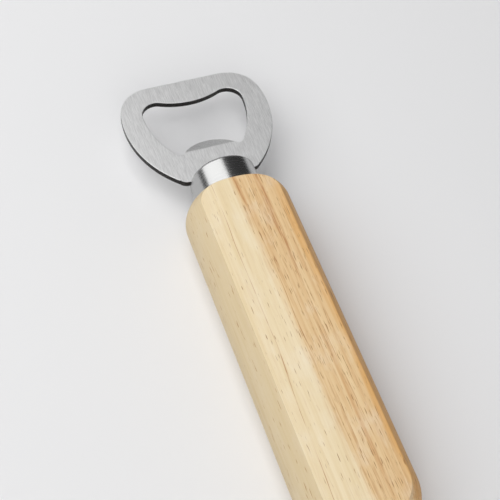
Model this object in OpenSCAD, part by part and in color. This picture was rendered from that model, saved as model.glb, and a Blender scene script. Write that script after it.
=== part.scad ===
// Hand-held crown-cap opener: a stamped steel plate, a drawn collar and a turned wooden handle.
// It lies on the handle's lower flat, and +Y runs from the butt of the handle to the top of the head.
// The origin is the middle of the bounding box's bottom face.

/* [Head] */
// Thickness of the steel sheet
sheet_t = 1.8; // [1.5:0.1:2.5]
// Height of the head above the collar
head_l = 36.3; // [31:0.1:44]
// Width of the head at its widest
head_w = 43; // [40:0.5:52]
// Drop of the widest point below the top edge
head_wide_y = 13.5; // [11:0.5:15]
// Radius of the two top corners
head_corner_r = 10; // [6:0.5:11]
// How far the flanks would stand out past the collar at its face
foot_out = 0.95; // [0.6:0.05:3]
// Radius that rounds each foot beside the collar
foot_r = 3; // [1:0.5:4]

/* [Mouth] */
// Width of the mouth at its widest
mouth_w = 30.2; // [28:0.2:36.4]
// Drop of the mouth's two lobes below the top edge of the head
mouth_top = 5.95; // [4.5:0.05:7.5]
// Radius of the two lobes
lobe_r = 4.5; // [3:0.1:5.4]
// Radius of the bulge between the lobes, which bears on top of the cap
bulge_r = 22.7; // [16:0.1:30]
// Radius of each side of the mouth
mouth_side_r = 26; // [22:0.5:32]
// Drop of the mouth's lowest line below the top edge of the head
mouth_bottom = 26.6; // [24:0.1:29]
// Radius of the two lower corners
mouth_corner_r = 1.6; // [1:0.1:2.5]

/* [Lip] */
// Length of the lip from its bend to its tip, along its front face
lip_l = 3.8; // [2.5:0.1:5]
// Angle that the lip is bent back
lip_angle = 20; // [10:1:30]
// Radius inside the bend
lip_bend_r = 0.3; // [0.2:0.1:1]
// Height of the bend above the mouth's lowest line
lip_rise = 0.4; // [0.2:0.1:0.6]

/* [Tang] */
// Width of the tang
tang_w = 10; // [8:0.5:12]
// Length of the tang past the collar's face
tang_l = 46; // [34:1:70]
// Diameter of the keying holes in the tang
key_d = 4; // [3:0.5:5]
// Number of keying holes
key_count = 2; // [1:1:2]
// Distance between keying holes
key_pitch = 12; // [8:1:14]
// Distance from the end of the tang to the last keying hole
key_end = 8; // [5:1:10]

/* [Collar] */
// Outside diameter of the collar
collar_d = 19; // [16.5:0.1:23]
// Length of the collar that shows
collar_l = 8; // [6:0.5:14]
// Wall of the collar
collar_wall = 1.2; // [1:0.1:1.5]
// Radius on the collar's outer front edge
collar_edge_r = 0.9; // [0.3:0.1:1]
// Clearance round the tang in the collar's slot
slot_gap = 0.1; // [0.05:0.05:0.3]

/* [Handle] */
// Length of the handle, without its tenon
handle_l = 107.7; // [80:0.1:130]
// Diameter that the handle is turned to
handle_d = 30; // [25:0.5:36]
// Height that each flat stands above the collar
flat_proud = 0.5; // [0.3:0.05:2]
// Radius of the end beside the collar
nose_r = 6.8; // [4:0.1:8]
// Depth of the collar's seat at its rim
seat_rim = 0.25; // [0.1:0.05:1]
// Clearance round the collar in its seat
seat_gap = 0.1; // [0.05:0.05:0.3]
// Radius of the butt end
butt_r = 12; // [6:0.5:12.4]
// Clearance between the tenon and the collar, on each side
tenon_gap = 0.05; // [0.02:0.01:0.15]
// Clearance between the tenon's end and the inside of the collar
tenon_end_gap = 0.4; // [0.2:0.1:1]

/* [Adhesive] */
// Thickness of the adhesive at the tang's corners
glue_t = 0.6; // [0.3:0.1:1]
// Thickness of the adhesive past the end of the tang
glue_end = 3; // [1:0.5:6]
// Gap drawn between the cured adhesive and round walls
bond_gap = 0.02; // [0.01:0.01:0.05]

/* [Hidden] */
$fn = 96;
cut = 1; // how far a cutting shape runs past what it cuts
lip_step = 0.1; // step between each end of the lip and the mouth's corner beside it

handle_t = collar_d + 2 * flat_proud;
handle_r = handle_d / 2;
axis_z = handle_t / 2;
collar_r = collar_d / 2;

// The collar sinks into a seat in the rounded end of the handle
seat_r = collar_r + seat_gap;
seat_out = max(0, seat_r - handle_r + nose_r);
seat_l = seat_rim + nose_r - sqrt(pow(nose_r, 2) - pow(seat_out, 2));

total_l = head_l + collar_l + handle_l;
top_y = total_l / 2;
collar_y = top_y - head_l; // front face of the collar, where the head's feet rest
nose_y = collar_y - collar_l; // end face of the handle
seat_y = nose_y - seat_l; // bottom of the seat, where the collar stops
butt_y = nose_y - handle_l;

// Right-hand circles of the head's outline, with y = 0 at its top edge
foot_x = collar_d / 2 + foot_out;
flank_drop = head_l - head_wide_y;
flank_in = head_w / 2 - foot_x;
flank_r = (pow(flank_drop, 2) + pow(flank_in, 2)) / (2 * flank_in);
flank_x = head_w / 2 - flank_r;
corner_x = flank_x + sqrt(pow(flank_r - head_corner_r, 2) - pow(head_wide_y - head_corner_r, 2));
corner_a = atan2(head_wide_y - head_corner_r, corner_x - flank_x);
foot_round_x = flank_x + sqrt(pow(flank_r - foot_r, 2) - pow(flank_drop - foot_r, 2));
foot_a = atan2(foot_r - flank_drop, foot_round_x - flank_x);

// Right-hand circles of the mouth
lobe_x = mouth_w / 2 - lobe_r;
lobe_y = -mouth_top - lobe_r;
bulge_y = lobe_y + sqrt(pow(bulge_r + lobe_r, 2) - pow(lobe_x, 2));
bulge_a = atan2(bulge_y - lobe_y, lobe_x);
side_x = mouth_w / 2 - mouth_side_r;
mouth_corner_y = mouth_corner_r - mouth_bottom;
mouth_corner_x = side_x + sqrt(pow(mouth_side_r - mouth_corner_r, 2) - pow(lobe_y - mouth_corner_y, 2));
side_a = atan2(mouth_corner_y - lobe_y, mouth_corner_x - side_x);

// The lip stands between the mouth's lower corners, and its edge is one arc
lip_y = lip_rise - mouth_bottom;
lip_a = asin((mouth_corner_y - lip_y) / mouth_corner_r) - 180;
lip_half_w = mouth_corner_x + mouth_corner_r * cos(lip_a) - lip_step;
lip_edge_r = (pow(lip_half_w, 2) + pow(lip_l, 2)) / (2 * lip_l);
lip_bend_run = (lip_bend_r + sheet_t) * sin(lip_angle);

collar_in_r = collar_r - collar_wall;
slot_w = tang_w + 2 * slot_gap;
slot_t = sheet_t + 2 * slot_gap;

tenon_r = collar_in_r - tenon_gap;
tenon_l = collar_l - collar_wall - tenon_end_gap; // above the handle's end face
bore_r = norm([tang_w / 2, sheet_t / 2]) + glue_t;
bore_l = tang_l - collar_l + glue_end; // below the handle's end face

// Points of an arc about (x, y), from angle a to angle b; an arc that follows another starts at its point 1
function arc(x, y, r, a, b, steps = 24, start = 1) =
    [for (i = [start : steps]) [x, y] + r * [cos(a + (b - a) * i / steps), sin(a + (b - a) * i / steps)]];

// The same points on the left, in the opposite order, without those on the middle line
function other_side(points) =
    [for (i = [len(points) - 1 : -1 : 0]) if (points[i][0] > 0.001) [-points[i][0], points[i][1]]];

// Right-hand half of the head, from its top edge down to the collar
head_half = concat(
    arc(corner_x, -head_corner_r, head_corner_r, 90, corner_a, start = 0),
    arc(flank_x, -head_wide_y, flank_r, corner_a, foot_a, 48),
    arc(foot_round_x, foot_r - head_l, foot_r, foot_a, -90, 12)
);

// Right-hand half of the mouth, from the middle of its top down to the lip's bend
mouth_half = concat(
    arc(0, bulge_y, bulge_r, -90, -bulge_a, start = 0),
    arc(lobe_x, lobe_y, lobe_r, 180 - bulge_a, 0),
    arc(side_x, lobe_y, mouth_side_r, 0, side_a, 36),
    arc(mouth_corner_x, mouth_corner_y, mouth_corner_r, side_a, lip_a, 18)
);

// Puts a shape that was made along +Z on the handle's axis, from y towards the head
module along_axis(y) {
    translate([0, y, axis_z]) rotate([-90, 0, 0]) children();
}

module sheet() {
    translate([0, 0, axis_z - sheet_t / 2]) linear_extrude(sheet_t) children();
}

module tang(with_keys) {
    sheet() difference() {
        translate([-tang_w / 2, collar_y - tang_l]) square([tang_w, tang_l]);
        if (with_keys) keys(key_d / 2);
    }
}

module keys(r) {
    for (i = [0 : key_count - 1]) {
        translate([0, collar_y - tang_l + key_end + i * key_pitch]) circle(r);
    }
}

// The lip's section in the frame of its bend: along the sheet, then through it
module lip_section() {
    along = [cos(lip_angle), -sin(lip_angle)];
    through = [sin(lip_angle), cos(lip_angle)];
    polygon(concat(
        arc(0, 0, lip_bend_r + sheet_t, 90, 90 - lip_angle, 8, start = 0),
        [(lip_bend_r + sheet_t) * through + lip_l * along, lip_bend_r * through + lip_l * along],
        arc(0, 0, lip_bend_r, 90 - lip_angle, 90, 8, start = 0)
    ));
}

// The bend's axis is X, and the sheet arrives from -Y
module bent_lip() {
    intersection() {
        translate([-lip_edge_r, 0, 0]) rotate([90, 0, 90]) linear_extrude(2 * lip_edge_r) lip_section();
        rotate([-lip_angle, 0, 0]) translate([0, lip_l - lip_bend_run - lip_edge_r, -cut])
            cylinder(r = lip_edge_r, h = lip_bend_r + sheet_t + 2 * cut);
    }
}

module head_plate() {
    color("gainsboro") {
        sheet() translate([0, top_y]) difference() {
            polygon(concat(head_half, other_side(head_half)));
            polygon(concat(mouth_half, other_side(mouth_half)));
        }
        translate([0, top_y + lip_y, axis_z - sheet_t / 2 - lip_bend_r]) bent_lip();
        tang(true);
    }
}

// Half the collar's section, with its open end at the origin
module collar_profile() {
    full_l = collar_y - seat_y;
    round_l = full_l - collar_edge_r;
    difference() {
        union() {
            square([collar_r, round_l]);
            square([collar_r - collar_edge_r, full_l]);
            translate([collar_r - collar_edge_r, round_l]) circle(collar_edge_r);
        }
        translate([0, -cut]) square([collar_in_r, full_l - collar_wall + cut]);
    }
}

module ferrule() {
    color("silver") difference() {
        along_axis(seat_y) rotate_extrude() collar_profile();
        translate([-slot_w / 2, seat_y, axis_z - slot_t / 2])
            cube([slot_w, collar_y - seat_y + cut, slot_t]);
    }
}

// Half the handle's turned profile, with its butt at the origin
module turned_profile() {
    intersection() {
        square([handle_r, handle_l]);
        union() {
            translate([0, butt_r]) square([handle_r, handle_l - butt_r - nose_r]);
            square([handle_r - butt_r, handle_l]);
            translate([0, butt_r]) square([handle_r - nose_r, handle_l - butt_r]);
            translate([handle_r - butt_r, butt_r]) circle(butt_r);
            translate([handle_r - nose_r, handle_l - nose_r]) circle(nose_r);
        }
    }
}

module handle() {
    color("burlywood") difference() {
        union() {
            difference() {
                intersection() {
                    along_axis(butt_y) rotate_extrude() turned_profile();
                    translate([-handle_d, butt_y - cut, 0]) cube([2 * handle_d, handle_l + 2 * cut, handle_t]);
                }
                along_axis(seat_y) cylinder(r = seat_r, h = seat_l + cut);
            }
            along_axis(seat_y - cut) cylinder(r = tenon_r, h = seat_l + tenon_l + cut);
        }
        along_axis(nose_y - bore_l) cylinder(r = bore_r, h = bore_l + tenon_l + cut);
    }
}

module tang_epoxy() {
    color("khaki") {
        difference() {
            along_axis(nose_y - bore_l)
                cylinder(r = bore_r - bond_gap, h = bore_l + collar_l - collar_wall);
            tang(false);
        }
        sheet() keys(key_d / 2 - bond_gap);
    }
}

head_plate();
ferrule();
handle();
tang_epoxy();
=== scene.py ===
import bpy
import bmesh
from math import atan2, cos, pi, radians, sin, sqrt
from mathutils import Matrix, Vector


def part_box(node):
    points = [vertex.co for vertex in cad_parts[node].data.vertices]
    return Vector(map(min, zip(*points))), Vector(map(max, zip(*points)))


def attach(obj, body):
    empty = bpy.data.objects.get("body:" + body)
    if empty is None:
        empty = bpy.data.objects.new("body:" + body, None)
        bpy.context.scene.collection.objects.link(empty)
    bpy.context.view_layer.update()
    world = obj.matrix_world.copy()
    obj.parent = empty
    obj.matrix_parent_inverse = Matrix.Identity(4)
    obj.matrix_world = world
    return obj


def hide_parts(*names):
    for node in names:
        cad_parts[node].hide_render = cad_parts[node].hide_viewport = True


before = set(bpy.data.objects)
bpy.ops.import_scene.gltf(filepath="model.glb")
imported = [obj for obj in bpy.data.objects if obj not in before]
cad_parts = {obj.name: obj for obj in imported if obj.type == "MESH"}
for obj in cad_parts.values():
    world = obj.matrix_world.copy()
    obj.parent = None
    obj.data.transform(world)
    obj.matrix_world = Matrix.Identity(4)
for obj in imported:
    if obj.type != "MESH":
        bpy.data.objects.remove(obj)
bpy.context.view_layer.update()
mm = 0.001
weld = 0.002 * mm  # points closer than this are one point
level = 1e-7  # m, how far from a plane still counts as on it

# places that the CAD model gives
plateLow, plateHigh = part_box("head_plate")
collarLow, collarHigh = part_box("ferrule")
handleLow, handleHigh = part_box("handle")
axisZ = (collarLow.z + collarHigh.z) / 2


def toLinear(hexColour):  # sRGB hex to the linear colour that a shader takes
    parts = [int(hexColour[i:i + 2], 16) / 255 for i in (1, 3, 5)]
    return [c / 12.92 if c <= 0.04045 else ((c + 0.055) / 1.055) ** 2.4 for c in parts] + [1]


def addNode(tree, kind, settings=None, inputs=None, stops=None):
    made = tree.nodes.new("ShaderNode" + kind)
    for key, value in (settings or {}).items():
        setattr(made, key, value)
    for key, value in (inputs or {}).items():  # a value, or the socket that it comes from
        if isinstance(value, bpy.types.NodeSocket):
            tree.links.new(value, made.inputs[key])
        else:
            made.inputs[key].default_value = value
    for i, (place, colour) in enumerate(stops or []):  # of a colour ramp, as hex or as a grey
        elements = made.color_ramp.elements
        element = elements[i] if i < 2 else elements.new(place)
        element.position = place
        element.color = toLinear(colour) if isinstance(colour, str) else [colour] * 3 + [1]
    return made


def stretched(tree, place, size):  # coordinates for a pattern of this size in mm across, along, through
    return addNode(tree, "Mapping", inputs={
        "Vector": place, "Scale": [1 / (part * mm) for part in size]}).outputs[0]


def newMaterial(name):
    material = bpy.data.materials.new(name)
    material.use_nodes = True
    material.node_tree.nodes.clear()
    return material, material.node_tree


def deselectAll():
    if bpy.context.mode != "OBJECT":
        bpy.ops.object.mode_set(mode="OBJECT")
    bpy.ops.object.select_all(action="DESELECT")


def useAlone(piece):
    deselectAll()
    piece.select_set(True)
    bpy.context.view_layer.objects.active = piece


def giveMaterial(piece, *materials):
    piece.data.materials.clear()
    for material in materials:
        piece.data.materials.append(material)


def weighNormals(piece):  # keeps the broad faces flat beside their rounded edges
    useAlone(piece)
    bpy.ops.object.modifier_add(type="WEIGHTED_NORMAL")
    bpy.context.object.modifiers[-1].keep_sharp = True
    bpy.context.object.modifiers[-1].weight = 100
    bpy.ops.object.modifier_apply(modifier=bpy.context.object.modifiers[-1].name)


def selectEdges(piece, wanted):  # in edit mode, by the places of an edge's two ends
    bpy.ops.mesh.select_mode(type="EDGE")
    bpy.ops.mesh.select_all(action="DESELECT")
    shape = bmesh.from_edit_mesh(piece.data)
    for edge in shape.edges:
        edge.select_set(wanted(edge.verts[0].co, edge.verts[1].co))
    bmesh.update_edit_mesh(piece.data)


def sortPoints(piece):  # in edit mode; a cut leaves no fixed order, and merges and bevels depend on it
    shape = bmesh.from_edit_mesh(piece.data)
    for point in shape.verts:  # the last digits of a cut aren't fixed either
        point.co = [round(part / level) * level for part in point.co]
    ordered = sorted(shape.verts, key=lambda v: [round(part / level) for part in v.co])
    rank = {point: i for i, point in enumerate(ordered)}
    shape.verts.sort(key=lambda v: rank[v])
    for parts in (shape.edges, shape.faces):
        ordered = sorted(parts, key=lambda part: sorted(rank[v] for v in part.verts))
        place = {part: i for i, part in enumerate(ordered)}
        parts.sort(key=lambda part: place[part])
    bmesh.update_edit_mesh(piece.data)
    bpy.ops.object.mode_set(mode="OBJECT")  # out and in again, so that the edges round a point are
    bpy.ops.object.mode_set(mode="EDIT")  # in order too


cameraSet = {
    "aim": (-0.69, 13.42, 10),  # mm, a point inside the handle, near its collar end
    "distance": 373.67,  # mm
    "swing": -25.13,  # degrees round from the butt, toward the left
    "height": 54.55,  # degrees above the floor
    "roll": 6.96,  # degrees
    "lens": 99.69,
    "sensor": 36,
    "shift": (-0.001, 0.001),
}


def makeCamera():
    bpy.ops.object.camera_add()
    camera = bpy.context.object
    camera.name = "viewCamera"
    swing, height, roll = (radians(cameraSet[k]) for k in ("swing", "height", "roll"))
    back = Vector((sin(swing) * cos(height), -cos(swing) * cos(height), sin(height)))
    unrolled = (-back).to_track_quat("-Z", "Y").to_matrix()
    camera.location = (Vector(cameraSet["aim"]) + back * cameraSet["distance"]) * mm
    camera.rotation_euler = (unrolled @ Matrix.Rotation(roll, 3, "Z")).to_euler()
    camera.data.lens = cameraSet["lens"]
    camera.data.sensor_width = cameraSet["sensor"]
    camera.data.shift_x, camera.data.shift_y = cameraSet["shift"]
    camera.data.clip_start = 0.01
    camera.data.clip_end = 20
    camera.data.dof.use_dof = False
    bpy.context.scene.camera = camera


makeCamera()
print("camera placed")


# one wide softbox at the upper left, dim elsewhere, pale floor
studioSet = {
    "boxCentre": (-0.41, 0.35, 0.686),
    "boxTarget": (0, 0.35, 0),
    "boxSize": (1.33, 1.2),
    "boxPower": 9.0,
    "fillCentre": (-0.35, -1.1, 0.8),
    "fillSize": (0.8, 0.8),
    "fillPower": 4.0,
    "dimSide": 0.045,  # what polished steel shows as black
    "litSide": 0.55,
    "litFrom": (0.3, -0.7),  # the world brightens toward -Y between these
    "farSide": 0.33,
    "farFrom": (0.62, 0.9),  # and again at the far end, which lights the lip
    "backdrop": 0.79,
    "floorSize": 4,
    "paper": ("#e7e7e8", "#e9e9ea"),
}


def areaLight(name, centre, size, power, target):
    bpy.ops.object.light_add(type="AREA", location=centre)
    light = bpy.context.object
    light.name = name
    light.data.shape = "RECTANGLE"
    light.data.size, light.data.size_y = size
    light.data.energy = power
    aim = Vector(target) - Vector(centre)
    light.rotation_euler = aim.to_track_quat("-Z", "Y").to_euler()
    return light


def makeStudio():
    s = studioSet
    areaLight("softbox", s["boxCentre"], s["boxSize"], s["boxPower"], s["boxTarget"])
    areaLight("fill", s["fillCentre"], s["fillSize"], s["fillPower"], (0, 0, 0))

    world = bpy.data.worlds.new("studioWorld")
    bpy.context.scene.world = world
    world.use_nodes = True
    tree = world.node_tree
    tree.nodes.clear()
    place = addNode(tree, "TexCoord")
    split = addNode(tree, "SeparateXYZ", inputs={0: place.outputs["Generated"]})
    front = addNode(tree, "MapRange", {"interpolation_type": "SMOOTHSTEP"},
                    {"Value": split.outputs["Y"], "From Min": s["litFrom"][0], "From Max": s["litFrom"][1],
                     "To Min": s["dimSide"], "To Max": s["litSide"]})
    far = addNode(tree, "MapRange", {"interpolation_type": "SMOOTHSTEP"},
                  {"Value": split.outputs["Y"], "From Min": s["farFrom"][0], "From Max": s["farFrom"][1],
                   "To Min": 0, "To Max": s["farSide"]})
    sky = addNode(tree, "Math", {"operation": "ADD"}, {0: front.outputs[0], 1: far.outputs[0]})
    lit = addNode(tree, "Background", inputs={"Color": sky.outputs[0], "Strength": 1})
    seen = addNode(tree, "Background", inputs={"Color": [s["backdrop"]] * 3 + [1], "Strength": 1})
    path = addNode(tree, "LightPath")
    both = addNode(tree, "MixShader", inputs={0: path.outputs["Is Camera Ray"], 1: lit.outputs[0],
                                              2: seen.outputs[0]})
    addNode(tree, "OutputWorld", inputs={"Surface": both.outputs[0]})

    bpy.ops.mesh.primitive_plane_add(size=s["floorSize"], location=(0, 0, 0))
    floor = bpy.context.object
    floor.name = "floor"
    material, tree = newMaterial("paleMattePaper")  # seamless paper: soft and even, with no shine
    place = addNode(tree, "TexCoord").outputs["Object"]
    noise = addNode(tree, "TexNoise", inputs={"Vector": place, "Scale": 3, "Detail": 2})
    tone = addNode(tree, "ValToRGB", inputs={0: noise.outputs[0]}, stops=list(zip((0.3, 0.7), s["paper"])))
    paper = addNode(tree, "BsdfPrincipled", inputs={
        "Base Color": tone.outputs[0], "Roughness": 0.9, "Specular IOR Level": 0.2})
    addNode(tree, "OutputMaterial", inputs={"Surface": paper.outputs[0]})
    giveMaterial(floor, material)
    bpy.context.scene.view_settings.view_transform = "Standard"


makeStudio()
print("studio lit")


# the handle is turned, then two flats are planed along it
handleSet = {
    "radius": 15,
    "collarLength": 8,  # how much of the collar stands clear of the handle
    "noseRadius": 6.8,
    "buttRadius": 12,
    "seatRadius": 9.6,
    "tenonRadius": 8.25,
    "boreRadius": 5.68,
    "boreLength": 41,
    "steps": 160,  # round the turning
    "noseSteps": 20,
    "buttSteps": 14,  # so that no ring runs close beside a flat's rim
    "easedEdge": 0.15,  # sandpaper takes the edge off each flat
    "rimClear": 0.32,  # points of the turning this close to a flat's rim are moved onto it
    "easedSteps": 3,
    "rimMerge": 0.15,  # points of a flat's rim this close are one
    "smoothBelow": 25,  # degrees
}


def turnedOutline():  # (radius, place along y), from the bottom of the bore round to the butt's centre
    s = handleSet
    noseY = collarHigh.y / mm - s["collarLength"]
    seatY = collarLow.y / mm
    topY = handleHigh.y / mm
    buttY = handleLow.y / mm
    outline = [(0, noseY - s["boreLength"]), (s["boreRadius"], noseY - s["boreLength"]),
               (s["boreRadius"], topY), (s["tenonRadius"], topY), (s["tenonRadius"], seatY),
               (s["seatRadius"], seatY)]
    r = s["noseRadius"]
    inward = s["seatRadius"] - s["radius"] + r  # where the nose meets the seat, from the nose's centre
    first = atan2(sqrt(r ** 2 - inward ** 2), inward)
    for i in range(s["noseSteps"] + 1):
        a = first * (1 - i / s["noseSteps"])
        outline.append((s["radius"] - r + r * cos(a), noseY - r + r * sin(a)))
    r = s["buttRadius"]
    for i in range(s["buttSteps"] + 1):
        a = -pi / 2 * i / s["buttSteps"]
        outline.append((s["radius"] - r + r * cos(a), buttY + r + r * sin(a)))
    outline.append((0, buttY))
    return outline


def makeHandle():
    s = handleSet
    outline = [Vector((r * mm, y * mm, axisZ)) for r, y in turnedOutline()]
    bpy.ops.mesh.primitive_plane_add(size=1)
    handle = bpy.context.object
    handle.name = "turnedHandle"
    bpy.ops.object.mode_set(mode="EDIT")
    bpy.ops.mesh.select_all(action="SELECT")
    bpy.ops.mesh.delete(type="ONLY_FACE")
    bpy.ops.mesh.select_all(action="SELECT")
    bpy.ops.mesh.merge(type="CENTER")
    shape = bmesh.from_edit_mesh(handle.data)
    shape.verts.ensure_lookup_table()
    shape.verts[0].co = outline[0]
    bmesh.update_edit_mesh(handle.data)
    for start, end in zip(outline, outline[1:]):
        bpy.ops.mesh.extrude_region_move(TRANSFORM_OT_translate={"value": end - start})
    bpy.ops.mesh.select_all(action="SELECT")
    bpy.ops.mesh.spin(steps=s["steps"], angle=2 * pi, center=(0, 0, axisZ), axis=(0, 1, 0))
    bpy.ops.mesh.select_all(action="SELECT")
    bpy.ops.mesh.remove_doubles(threshold=weld)
    for side, flatZ in ((1, 2 * axisZ), (-1, 0)):  # the flats
        bpy.ops.mesh.select_all(action="SELECT")
        bpy.ops.mesh.bisect(plane_co=(0, 0, flatZ), plane_no=(0, 0, side), threshold=level,
                            use_fill=True, clear_outer=True)
        sortPoints(handle)
        bpy.ops.mesh.remove_doubles(threshold=s["rimMerge"] * mm)  # only the new rim is selected
    shape = bmesh.from_edit_mesh(handle.data)
    onRim = {v for v in shape.verts if abs(abs(v.co.z - axisZ) - axisZ) < level}
    for point in shape.verts:
        near = [e for e in point.link_edges if e.other_vert(point) in onRim]
        if near and point not in onRim:
            edge = min(near, key=lambda e: (round(e.calc_length() / level), *e.other_vert(point).co))
            if edge.calc_length() < s["rimClear"] * mm:
                point.co = edge.other_vert(point).co
    bmesh.update_edit_mesh(handle.data)
    sortPoints(handle)
    bpy.ops.mesh.select_all(action="SELECT")
    bpy.ops.mesh.remove_doubles(threshold=weld)
    bpy.ops.mesh.normals_make_consistent(inside=False)
    sortPoints(handle)
    selectEdges(handle, lambda a, b: abs(a.z - b.z) < level and abs(abs(a.z - axisZ) - axisZ) < level)
    bpy.ops.mesh.bevel(offset=s["easedEdge"] * mm, segments=s["easedSteps"], affect="EDGES",
                       clamp_overlap=False)
    bpy.ops.object.mode_set(mode="OBJECT")
    useAlone(handle)
    bpy.ops.object.shade_smooth_by_angle(angle=radians(s["smoothBelow"]))
    weighNormals(handle)
    return handle


woodSet = {
    "pale": ("#e7d1a6", "#f2e0bd"),
    "tan": ("#d1a270", "#e1bf8f", "#ebcfa2"),
    "bloom": "#f8eeda",  # paler clouds
    "fleck": "#c49566",
    "longLine": "#b98250",
    "pore": "#a06f42",
    "edge": "#d8993f",  # the wood's own warmer tone and painted shade, darker toward the right side
    "paintedSideShade": "#b4a07b",  # painted shade: a duller, darker colour on the rounded side off the flat, at the left
    "sizes": {  # mm across, along and through the handle
        "grain": (1.1, 60, 1.1),
        "zone": (7, 150, 7),
        "patch": (5, 11, 5),
        "fleck": (0.5, 9, 0.7),
        "pore": (0.34, 4.5, 0.5),  # real ones are 0.2 mm wide, drawn wider so that they show
        "fibre": (0.16, 5, 0.16),
    },
    "lines": (-7.4, 0.4, 3.4, 6.4),  # mm across, of the long growth lines
    "lineHalf": 0.16,
    "waver": 2.2,  # mm, how far the band and the lines wander
    "bandFrom": (-2.4, 0.8),  # mm across, cream to tan
    "rightToneAndShadeFrom": (9.2, 12),
    "sideShadeFrom": (-2, -10.5),
}


def makeWood():
    # rubberwood, turned, sanded and oiled: cream sapwood beside a tan band,
    # straight grain with short open pores
    material, tree = newMaterial("sandedRubberwood")
    s = woodSet
    coords = addNode(tree, "TexCoord")
    place = coords.outputs["Object"]
    split = addNode(tree, "SeparateXYZ", inputs={0: place})
    facing = addNode(tree, "SeparateXYZ", inputs={0: coords.outputs["Normal"]})

    def noise(name, detail=2):
        return addNode(tree, "TexNoise", inputs={"Vector": stretched(tree, place, s["sizes"][name]),
                                                 "Scale": 1, "Detail": detail, "Roughness": 0.6}).outputs[0]

    def ranged(value, start, end, low=0.0, high=1.0, smooth=False):
        return addNode(tree, "MapRange", {"interpolation_type": "SMOOTHSTEP" if smooth else "LINEAR"}, {
            "Value": value, "From Min": start, "From Max": end, "To Min": low, "To Max": high}).outputs[0]

    def calc(operation, first, second):
        return addNode(tree, "Math", {"operation": operation}, {0: first, 1: second}).outputs[0]

    def mixed(amount, under, over):
        return addNode(tree, "Mix", {"data_type": "RGBA"}, {0: amount, 6: under, 7: over}).outputs[2]

    grain = noise("grain", 5)
    fleck = noise("fleck")
    waver = ranged(noise("zone", 3), 0.3, 0.7, -s["waver"] * mm, s["waver"] * mm)
    across = calc("ADD", split.outputs["X"], waver)
    bandFrom, rightToneAndShadeFrom, sideShadeFrom = (
        [x * mm for x in s[name]] for name in ("bandFrom", "rightToneAndShadeFrom", "sideShadeFrom"))
    band = ranged(across, *bandFrom, smooth=True)
    pale = addNode(tree, "ValToRGB", inputs={0: grain}, stops=list(zip((0.3, 0.62), s["pale"])))
    tan = addNode(tree, "ValToRGB", inputs={0: grain}, stops=list(zip((0.3, 0.48, 0.7), s["tan"])))
    body = mixed(band, pale.outputs[0], tan.outputs[0])
    body = mixed(ranged(noise("patch", 3), 0.5, 0.75, 0, 0.35), body, toLinear(s["bloom"]))
    body = mixed(calc("MULTIPLY", ranged(fleck, 0.55, 0.7, 0, 0.55), ranged(band, 0, 1, 0.22, 1)),
                 body, toLinear(s["fleck"]))
    for x in s["lines"]:  # each comes and goes along its length
        off = calc("ABSOLUTE", calc("SUBTRACT", across, x * mm), 0)
        shown = calc("MULTIPLY", ranged(off, s["lineHalf"] * mm, 0.3 * s["lineHalf"] * mm),
                     ranged(fleck, 0.42, 0.55, 0.1, 0.75))
        body = mixed(shown, body, toLinear(s["longLine"]))
    # painted shade: the rounded surface off the flats, toward the left, gets a duller, darker colour
    offFlat = ranged(calc("ABSOLUTE", facing.outputs["Z"], 0), 0.985, 0.93, 0, 0.6)
    body = mixed(calc("MULTIPLY", offFlat, ranged(split.outputs["X"], *sideShadeFrom, smooth=True)),
                 body, toLinear(s["paintedSideShade"]))
    # partly the wood's own warmer tone, partly painted shade: darker and more orange toward the right side
    body = mixed(ranged(across, *rightToneAndShadeFrom, 0, 0.65, True), body, toLinear(s["edge"]))
    poreFrom = ranged(band, 0, 1, 0.68, 0.63)
    pores = ranged(noise("pore", 1), poreFrom, calc("ADD", poreFrom, 0.07), 0, 0.75)
    body = mixed(pores, body, toLinear(s["pore"]))

    bump = addNode(tree, "Bump", inputs={"Strength": 0.35, "Distance": 0.05 * mm,
                                         "Height": calc("SUBTRACT", noise("fibre"), pores)})
    wood = addNode(tree, "BsdfPrincipled", inputs={
        "Base Color": body, "Roughness": ranged(grain, 0, 1, 0.62, 0.48), "IOR": 1.45,
        "Specular IOR Level": 0.4, "Normal": bump.outputs[0]})
    addNode(tree, "OutputMaterial", inputs={"Surface": wood.outputs[0]})
    return material


handle = makeHandle()
giveMaterial(handle, makeWood())
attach(handle, "root")
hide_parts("handle")
print("handle turned")


# the plate is the CAD one with its edges broken
plateSet = {
    "brokenEdge": 0.15,
    "brokenSteps": 3,
    "sharp": 40,  # degrees; an edge that turns by more than this is a corner
    "smoothBelow": 32,  # degrees
    "lipLow": 26.8,  # below the top edge; the lip keeps its sheared edge
    "lipHigh": 21.6,
    "lipHalf": 8,
    "levelEdge": 0.5,  # mm; an edge that climbs more runs through the sheet
    "footClear": 0.8,  # the feet stay sharp beside the collar
}


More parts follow.
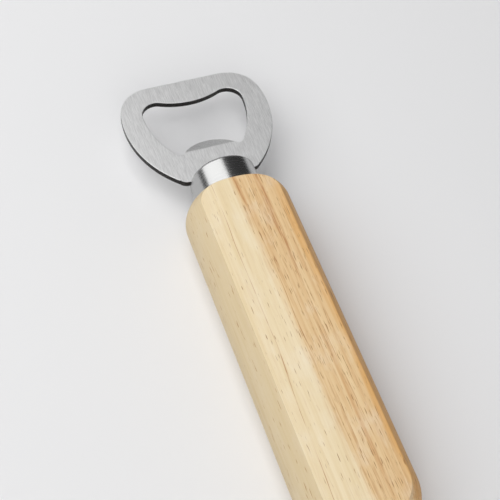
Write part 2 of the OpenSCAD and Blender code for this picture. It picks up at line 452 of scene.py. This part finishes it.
def makePlate():
    s = plateSet
    plate = bpy.data.objects.new("stampedPlate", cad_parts["head_plate"].data.copy())
    bpy.context.collection.objects.link(plate)
    useAlone(plate)
    bpy.ops.object.mode_set(mode="EDIT")
    bpy.ops.mesh.select_all(action="SELECT")
    bpy.ops.mesh.customdata_custom_splitnormals_clear()
    bpy.ops.mesh.remove_doubles(threshold=weld)
    bpy.ops.mesh.dissolve_limited(angle_limit=radians(0.3))
    bpy.ops.mesh.select_mode(type="EDGE")
    bpy.ops.mesh.select_all(action="DESELECT")
    shape = bmesh.from_edit_mesh(plate.data)
    lipLow, lipHigh = (plateHigh.y - s[name] * mm for name in ("lipLow", "lipHigh"))
    for edge in shape.edges:
        ends = [v.co for v in edge.verts]
        onLip = any(abs(p.x) < s["lipHalf"] * mm and lipLow < p.y < lipHigh for p in ends)
        onHead = all(p.y > collarHigh.y + s["footClear"] * mm for p in ends)
        sharp = len(edge.link_faces) == 2 and edge.calc_face_angle() > radians(s["sharp"])
        flat = abs(ends[0].z - ends[1].z) < s["levelEdge"] * mm
        edge.select_set(onHead and sharp and flat and not onLip)
    bmesh.update_edit_mesh(plate.data)
    bpy.ops.mesh.bevel(offset=s["brokenEdge"] * mm, segments=s["brokenSteps"], affect="EDGES",
                       clamp_overlap=False)
    bpy.ops.object.mode_set(mode="OBJECT")
    useAlone(plate)
    bpy.ops.object.shade_smooth_by_angle(angle=radians(s["smoothBelow"]))
    weighNormals(plate)
    return plate


brushSet = {
    "steel": ("#d2d2d2", "#f8f8f8"),
    "brushLine": (0.18, 2.4, 0.18),  # mm; the real lines are finer, drawn as wide as they can show
    "smear": (0.35, 5, 0.35),
    "patch": (11, 11, 11),
    "rough": (0.42, 0.52),
    # painted shade and dark reflection: the sheared walls get a near-black colour, darker than the duller
    # sheared steel itself
    "shearedPaintedDark": ("#222120", "#413f3d"),
    "shearedScale": 2500,  # per metre
}


def makeBrushedSteel():
    # stainless sheet, belt-brushed along the handle: satin, and a highlight smears out across the lines
    material, tree = newMaterial("brushedStainless")
    s = brushSet
    place = addNode(tree, "TexCoord").outputs["Object"]
    line, smear, patch = (addNode(tree, "TexNoise", inputs={
        "Vector": stretched(tree, place, s[name]), "Scale": 1, "Detail": 3, "Roughness": 0.6}).outputs[0]
        for name in ("brushLine", "smear", "patch"))
    mixed = addNode(tree, "Mix", {"data_type": "FLOAT"}, {0: 0.35, 2: line, 3: smear}).outputs[0]
    tone = addNode(tree, "ValToRGB", inputs={0: mixed}, stops=list(zip((0.3, 0.7), s["steel"])))
    rough = addNode(tree, "MapRange", inputs={
        "Value": mixed, "From Min": 0.3, "From Max": 0.7,
        "To Min": s["rough"][0], "To Max": s["rough"][1]}).outputs[0]
    height = addNode(tree, "Math", {"operation": "MULTIPLY_ADD"}, {0: patch, 1: 0.2, 2: line}).outputs[0]
    bump = addNode(tree, "Bump", inputs={"Strength": 0.3, "Distance": 0.02 * mm, "Height": height})
    across = addNode(tree, "Tangent", {"direction_type": "RADIAL", "axis": "Y"})
    steel = addNode(tree, "BsdfPrincipled", inputs={
        "Base Color": tone.outputs[0], "Metallic": 1, "Roughness": rough, "Anisotropic": 0.6,
        "Tangent": across.outputs[0], "Normal": bump.outputs[0]})
    addNode(tree, "OutputMaterial", inputs={"Surface": steel.outputs[0]})
    return material


def makeShearedSteelPaintedDark():
    # the same sheet where the punch went through: a rough, duller wall, painted near black for the shade
    # and dark reflection it shows
    material, tree = newMaterial("shearedStainlessPaintedDark")
    place = addNode(tree, "TexCoord").outputs["Object"]
    noise = addNode(tree, "TexNoise", inputs={
        "Vector": place, "Scale": brushSet["shearedScale"], "Detail": 3}).outputs[0]
    tone = addNode(tree, "ValToRGB", inputs={0: noise}, stops=list(zip((0.35, 0.65), brushSet["shearedPaintedDark"])))
    bump = addNode(tree, "Bump", inputs={"Strength": 0.4, "Distance": 0.03 * mm, "Height": noise})
    steel = addNode(tree, "BsdfPrincipled", inputs={
        "Base Color": tone.outputs[0], "Metallic": 1, "Roughness": 0.4, "Normal": bump.outputs[0]})
    addNode(tree, "OutputMaterial", inputs={"Surface": steel.outputs[0]})
    return material


plate = makePlate()
giveMaterial(plate, makeBrushedSteel(), makeShearedSteelPaintedDark())
for face in plate.data.polygons:  # what the punch sheared, painted dark for shade and dark reflection
    face.material_index = 1 if abs(face.normal.z) < 0.5 else 0
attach(plate, "root")
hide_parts("head_plate")
print("plate stamped")


# the collar keeps its CAD mesh
polishSet = {
    "steel": ("#b3b3b3", "#bfbfbe"),
    "turnLine": (9, 0.12, 9),  # mm; lines run round the collar
    "rough": (0.19, 0.29),
}


def makePolishedSteel():
    # stainless tube turned and polished: a mirror with faint lines round it
    material, tree = newMaterial("polishedStainless")
    s = polishSet
    place = addNode(tree, "TexCoord").outputs["Object"]
    line = addNode(tree, "TexNoise", inputs={
        "Vector": stretched(tree, place, s["turnLine"]), "Scale": 1, "Detail": 3}).outputs[0]
    tone = addNode(tree, "ValToRGB", inputs={0: line}, stops=list(zip((0.3, 0.7), s["steel"])))
    rough = addNode(tree, "MapRange", inputs={
        "Value": line, "From Min": 0.3, "From Max": 0.7,
        "To Min": s["rough"][0], "To Max": s["rough"][1]}).outputs[0]
    bump = addNode(tree, "Bump", inputs={"Strength": 0.1, "Distance": 0.01 * mm, "Height": line})
    steel = addNode(tree, "BsdfPrincipled", inputs={
        "Base Color": tone.outputs[0], "Metallic": 1, "Roughness": rough, "Normal": bump.outputs[0]})
    addNode(tree, "OutputMaterial", inputs={"Surface": steel.outputs[0]})
    return material


giveMaterial(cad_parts["ferrule"], makePolishedSteel())
print("collar polished")


epoxySet = {
    "resin": ("#d9c48d", "#e6d7a8"),
    "cloudScale": 400,  # per metre
}


def makeEpoxy():
    # two-part epoxy, cured in the bore: amber, glossy and a little cloudy
    material, tree = newMaterial("curedEpoxy")
    s = epoxySet
    place = addNode(tree, "TexCoord").outputs["Object"]
    noise = addNode(tree, "TexNoise", inputs={
        "Vector": place, "Scale": s["cloudScale"], "Detail": 2}).outputs[0]
    tone = addNode(tree, "ValToRGB", inputs={0: noise}, stops=list(zip((0.35, 0.65), s["resin"])))
    resin = addNode(tree, "BsdfPrincipled", inputs={
        "Base Color": tone.outputs[0], "Roughness": 0.25, "IOR": 1.55})
    addNode(tree, "OutputMaterial", inputs={"Surface": resin.outputs[0]})
    return material


giveMaterial(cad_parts["tang_epoxy"], makeEpoxy())
print("epoxy cured")
